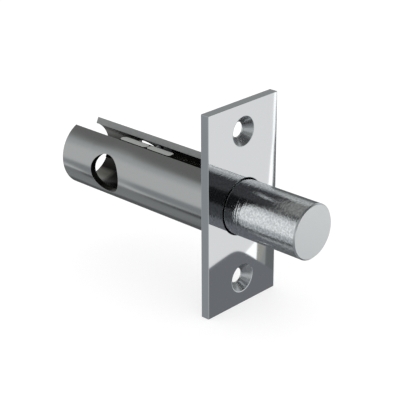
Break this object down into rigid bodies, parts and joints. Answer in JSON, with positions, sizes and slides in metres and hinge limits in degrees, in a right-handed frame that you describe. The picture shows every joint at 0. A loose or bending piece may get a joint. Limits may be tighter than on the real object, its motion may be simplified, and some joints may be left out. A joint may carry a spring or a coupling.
{
  "type": "mortise rack bolt",
  "caption": "Round key-driven rack bolt in a gapped tubular case behind a rectangular forend plate, for mortising into a door edge.",
  "frame": {"origin": "centre of the forend's front face, on the bolt's axis", "axes": "+Y runs back into the door along the case, so the bolt throws towards -Y; +Z runs along the forend towards the side of the case's gap; +X runs across the door's thickness, away from the keyhole shown in the picture"},
  "size_m": [0.0254, 0.0806, 0.055],
  "materials": {
    "forend_plate": "polished",
    "case_tube": "polished",
    "bolt": "satin",
    "guide_pin": "ground",
    "friction_ball": "polished",
    "friction_spring": "bright drawn wire"
  },
  "bodies": {
    "case": {"forend_plate": "forend_plate", "case_tube": "case_tube", "guide_pin": "guide_pin"},
    "bolt": {"bolt": "bolt", "friction_ball": "friction_ball", "friction_spring": "friction_spring"}
  },
  "joints": [
    {"name": "bolt_throw", "type": "slide", "parent": "case", "child": "bolt", "axis": [0, 1, 0], "range_m": [0, 0.0222]}
  ]
}
